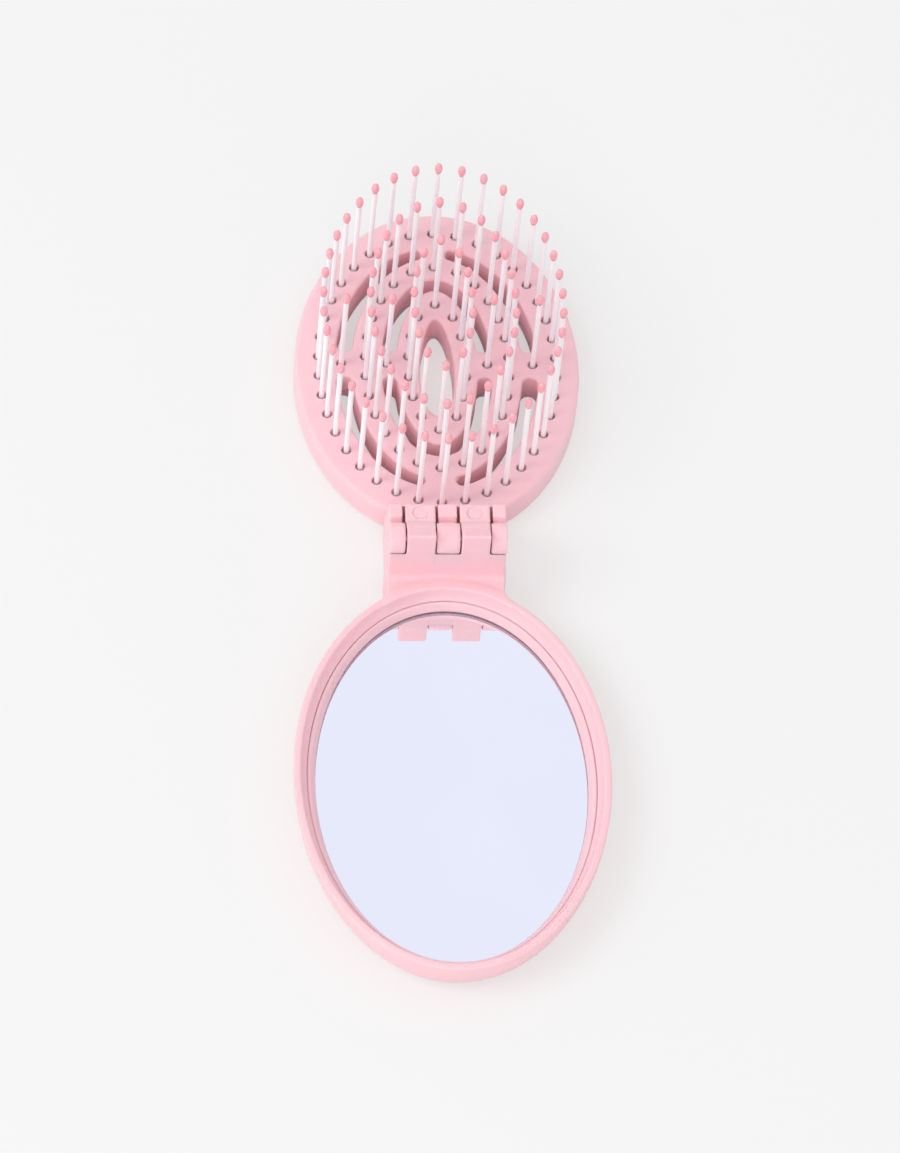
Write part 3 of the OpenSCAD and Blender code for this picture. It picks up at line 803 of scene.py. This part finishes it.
# The grids' boxes: how far they reach past a piece, and where they start and end
BOX_PAST, BOX_LOW = 1.4, -1.3
HEAD_BOX_FRONT, HEAD_BOX_HIGH = 5, 26.5
COVER_BOX_HIGH = 2.8
FRAME_BOX_BACK, FRAME_BOX_HIGH = 9.4, 28.6

head = field_object("head_shell", head_field,
                    (-HEAD_A - BOX_PAST, HINGE_Y - HEAD_BOX_FRONT, BOX_LOW),
                    (HEAD_A + BOX_PAST, HEAD_Y + HEAD_B + BOX_PAST, HEAD_BOX_HIGH), STEP)
place(head, "brush_head", "pink_shell", pink, "head_face_shell")

cover = field_object("head_cover", cover_field, (-HEAD_A, HEAD_Y - HEAD_B, BOX_LOW),
                     (HEAD_A, HEAD_Y + HEAD_B, COVER_BOX_HIGH), STEP)
place(cover, "brush_head", "pink_shell", pink, "head_back_cover")

shell = field_object("mirror_shell", mirror_field,
                     (-FRAME_A - BOX_PAST, MIRROR_Y - FRAME_B - BOX_PAST, BOX_LOW),
                     (FRAME_A + BOX_PAST, HINGE_Y + FRAME_BOX_BACK, FRAME_BOX_HIGH), STEP)
place(shell, "mirror_half", "pink_shell", pink, "mirror_frame")

# The bead's section, as (inset, height)
BEAD_CORNERS = [(3.0, 5.4), (3.0, 7.6), (3.08, 8.0), (3.35, 8.12), (3.7, 7.85), (4.02, 7.2),
                (4.3, 6.6), (4.4, 6.25), (4.3, 5.98), (4.15, 5.85), (4.1, 5.4)]
bead_ring = swept_oval("retaining_bead", FRAME_A, FRAME_B, smooth_loop(BEAD_CORNERS))
place(bead_ring, "mirror_half", "pink_shell", pink, "mirror_retaining_ring")

# The glass: its chamfer underneath, the fall of its bevelled edge, and the row that closes its top
GLASS_CHAMFER, BEVEL_FALL, TOP_ROW = 0.1, 0.25, 0.01
edge_in = SEAT_IN + GLASS_GAP
glass = stacked_oval("mirror_glass_plate", FRAME_A, FRAME_B,
                     [(edge_in + GLASS_CHAMFER, GLASS_UNDER),
                      (edge_in, GLASS_UNDER + GLASS_CHAMFER),
                      (edge_in, GLASS_TOP - BEVEL_FALL),
                      (GROUND_IN, GLASS_TOP), (GROUND_IN + TOP_ROW, GLASS_TOP)])
place(glass, "mirror_half", "mirror_glass", mirror, "mirror_glass")
glass.data.materials.append(glass_edge)
for face in glass.data.polygons:
    face.use_smooth = False
    face.material_index = 1 if len(face.vertices) == 4 else 0

# The cover's rounded foot, in two cuts
FOOT, FOOT_MIDDLE = 0.3, 0.09
back_in = FRAME_COVER_IN + COVER_GAP
back = stacked_oval("mirror_cover", FRAME_A, FRAME_B,
                    [(back_in + FOOT, 0), (back_in + FOOT_MIDDLE, FOOT_MIDDLE),
                     (back_in, FOOT), (back_in, COVER_T)])
place(back, "mirror_half", "pink_shell", pink, "mirror_back_cover")
crease(back, 50)


def lathe(profile, steps):
    """Points and faces of a turned shape from (radius, height) corners, closed at both ends."""
    points, faces = [], []
    for r, z in profile:
        for k in range(steps):
            t = 2 * math.pi * k / steps
            points.append((r * math.cos(t), r * math.sin(t), z))
    for j in range(len(profile) - 1):
        for k in range(steps):
            a, b = j * steps + k, j * steps + (k + 1) % steps
            faces.append((a, b, b + steps, a + steps))
    faces.append(tuple(range(steps))[::-1])
    faces.append(tuple(range((len(profile) - 1) * steps, len(profile) * steps)))
    return np.array(points), faces


def repeated(name, profile, places, steps):
    points, faces = lathe(profile, steps)
    all_points, all_faces = [], []
    for k, (px, py) in enumerate(places):
        all_points.append(points + [px, HEAD_Y + py, 0])
        all_faces += [tuple(i + k * len(points) for i in f) for f in faces]
    return new_object(name, np.concatenate(all_points), all_faces)


# A drop's shape, as shares of its radius and length
TIP_SHARES = [(0.63, 0.0), (0.8, 0.1), (0.92, 0.22), (0.99, 0.36), (1.0, 0.47), (0.97, 0.6),
              (0.88, 0.73), (0.72, 0.84), (0.5, 0.93), (0.25, 0.985), (0.05, 1.0)]
PIN_MIDDLE = 12
PIN_STEPS = 16
pin_profile = [(PIN_R, SOCKET_Z), (PIN_R, PIN_MIDDLE), (PIN_R, PIN_TOP)]
tip_profile = [(TIP_R * r, PIN_TOP + TIP_LEN * h) for r, h in TIP_SHARES]
for ring, places in PINS.items():
    pins = repeated(f"{ring}_nylon_pins", pin_profile, places, PIN_STEPS)
    crease(pins, 60)
    place(pins, "brush_head", "white_nylon", nylon, f"{ring}_pins")
    drops = repeated(f"{ring}_drops", tip_profile, places, PIN_STEPS)
    place(drops, "brush_head", "pink_tips", tips_pink, f"{ring}_pin_tips")

# ---- Floor, light and camera ----

# The camera sees this share of the floor as an even tone, and the rest as lit
FLOOR_EVEN = 0.55
FLOOR_SIZE = 6
FLOOR_TONE = srgb(238, 238, 238)
BACKDROP = srgb(246, 246, 246)
BACKDROP_IN_GLASS = srgb(237, 239, 255)
WORLD_POWER = 0.77

bpy.ops.mesh.primitive_plane_add(size=FLOOR_SIZE, location=(0, 0, 0))
floor = bpy.context.object
floor.name = "floor"
m, nodes, links, shader = material("pale_floor")
shader.inputs["Base Color"].default_value = FLOOR_TONE
shader.inputs["Roughness"].default_value = 1.0
shader.inputs["Specular IOR Level"].default_value = 0.0
even = nodes.new("ShaderNodeEmission")
even.inputs["Color"].default_value = BACKDROP
path = nodes.new("ShaderNodeLightPath")
share = to_range(nodes, links, path.outputs["Is Camera Ray"], 0.0, FLOOR_EVEN)
blend = nodes.new("ShaderNodeMixShader")
links.new(share, blend.inputs["Fac"])
links.new(shader.outputs["BSDF"], blend.inputs[1])
links.new(even.outputs["Emission"], blend.inputs[2])
links.new(blend.outputs["Shader"], nodes["Material Output"].inputs["Surface"])
floor.data.materials.append(m)


def either_ray(nodes, links, first, second):
    node = nodes.new("ShaderNodeMath")
    node.operation = "MAXIMUM"
    links.new(first, node.inputs[0])
    links.new(second, node.inputs[1])
    return node.outputs[0]


# Rays that hit the object are lit by the plain world; the camera and reflections see the backdrop
world = bpy.data.worlds.new("studio")
bpy.context.scene.world = world
world.use_nodes = True
nodes, links = world.node_tree.nodes, world.node_tree.links
light = nodes["Background"]
light.inputs["Color"].default_value = (1, 1, 1, 1)
light.inputs["Strength"].default_value = WORLD_POWER
seen = nodes.new("ShaderNodeBackground")
seen.inputs["Strength"].default_value = 1.0
path = nodes.new("ShaderNodeLightPath")
backdrop = ramp(nodes, links, path.outputs["Is Glossy Ray"], BACKDROP, BACKDROP_IN_GLASS, 0, 1)
links.new(backdrop, seen.inputs["Color"])
direct = either_ray(nodes, links, path.outputs["Is Camera Ray"], path.outputs["Is Glossy Ray"])
direct = either_ray(nodes, links, direct, path.outputs["Is Transmission Ray"])
mix = nodes.new("ShaderNodeMixShader")
links.new(direct, mix.inputs["Fac"])
links.new(light.outputs[0], mix.inputs[1])
links.new(seen.outputs[0], mix.inputs[2])
links.new(mix.outputs[0], nodes["World Output"].inputs["Surface"])


def lamp(name, place, size, power):
    """A round lamp that looks at the middle of the brush."""
    data = bpy.data.lights.new(name, "AREA")
    data.shape = "DISK"
    data.size = size
    data.energy = power
    obj = bpy.data.objects.new(name, data)
    bpy.context.scene.collection.objects.link(obj)
    obj.location = place
    obj.rotation_euler = (Vector((0, 0, 0)) - Vector(place)).to_track_quat("-Z", "Y").to_euler()
    return obj


key = lamp("key", (-1.0, -0.25, 1.15), size=0.9, power=7)
# kept out of reflections; the grain on the rim in short renders didn't come from this lamp
key.visible_glossy = False
lamp("front", (-0.25, -1.35, 0.95), size=0.9, power=4.5)

# The view, as fitted to the photo: angles in degrees, distances in millimetres, the focal length
# and the picture in pixels
VIEW_AZIMUTH, VIEW_ELEVATION, VIEW_ROLL = -6.978, 56.5, -6.224
VIEW_DISTANCE, VIEW_FOCAL = 1900.0, 8758.0
PICTURE_W, PICTURE_H = 900, 1153
ANCHOR_FORWARD, ANCHOR_UP = 1.2, 2.4
ANCHOR_PIXEL = (448.8, 537)
SENSOR = 36


def view_axes(azimuth, elevation, roll):
    """Unit vectors to the right, up and back towards the camera."""
    az, el, ro = map(math.radians, (azimuth, elevation, roll))
    back = Vector((math.sin(az) * math.cos(el), -math.cos(az) * math.cos(el), math.sin(el)))
    right = Vector((math.cos(az), math.sin(az), 0))
    up = back.cross(right)
    return (math.cos(ro) * right - math.sin(ro) * up,
            math.sin(ro) * right + math.cos(ro) * up, back)


def set_camera():
    """A long lens, turned so that the anchor point by the hinge lies at its measured pixel."""
    right, up, back = view_axes(VIEW_AZIMUTH, VIEW_ELEVATION, VIEW_ROLL)
    anchor = Vector((0, HINGE_Y - ANCHOR_FORWARD, AXIS_Z + ANCHOR_UP))
    across = (ANCHOR_PIXEL[0] - PICTURE_W / 2) * VIEW_DISTANCE / VIEW_FOCAL
    above = (PICTURE_H / 2 - ANCHOR_PIXEL[1]) * VIEW_DISTANCE / VIEW_FOCAL
    place = anchor - across * right - above * up + VIEW_DISTANCE * back
    data = bpy.data.cameras.new("view")
    data.sensor_fit = "VERTICAL"
    data.sensor_height = SENSOR
    data.lens = VIEW_FOCAL * SENSOR / PICTURE_H
    data.clip_start, data.clip_end = 0.05, 20
    camera = bpy.data.objects.new("view", data)
    bpy.context.scene.collection.objects.link(camera)
    camera.matrix_world = Matrix((
        (right.x, up.x, back.x, place.x * MM), (right.y, up.y, back.y, place.y * MM),
        (right.z, up.z, back.z, place.z * MM), (0, 0, 0, 1)))
    bpy.context.scene.camera = camera


set_camera()
bpy.context.scene.view_settings.view_transform = "Standard"
